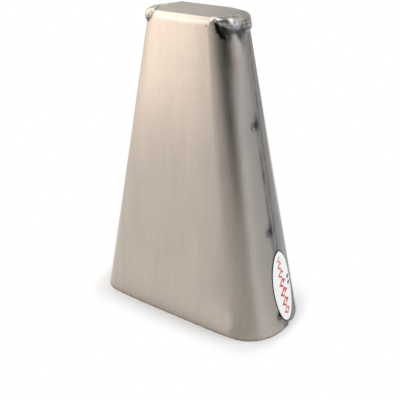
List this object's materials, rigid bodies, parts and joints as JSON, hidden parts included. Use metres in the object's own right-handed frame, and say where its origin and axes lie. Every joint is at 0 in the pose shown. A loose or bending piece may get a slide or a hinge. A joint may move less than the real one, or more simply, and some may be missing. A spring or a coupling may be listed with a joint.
{
  "type": "bongo cowbell",
  "caption": "Hand-held folded steel cowbell with a wide flat mouth, rounded sides, lap seams with spot welds, welded crown ends and an oval label.",
  "frame": {"origin": "centre of the plane of the mouth's rim, which the bell stands on", "axes": "+Z from the mouth up to the crown, +X to the right side that carries the label, -Y out of the front face, which is the playing face"},
  "size_m": [0.1572, 0.0748, 0.22],
  "materials": {
    "steel_sheet": "bare rolled steel with a satin grain that runs from the mouth to the crown, slightly warm",
    "weld_metal": "rough weld metal, bright on its crests and dark with soot in its hollows",
    "spot_metal": "burnt steel in a shallow dish with a dark ring",
    "label_vinyl": null
  },
  "bodies": {
    "root": {"body_sheet": "steel_sheet", "right_crown_weld": "weld_metal", "left_crown_weld": "weld_metal", "right_spot_weld_upper": "spot_metal", "right_spot_weld_middle": "spot_metal", "right_spot_weld_lower": "spot_metal", "left_spot_weld_upper": "spot_metal", "left_spot_weld_middle": "spot_metal", "left_spot_weld_lower": "spot_metal", "right_mouth_tack": "weld_metal", "left_mouth_tack": "weld_metal", "oval_label": "label_vinyl"}
  },
  "joints": []
}
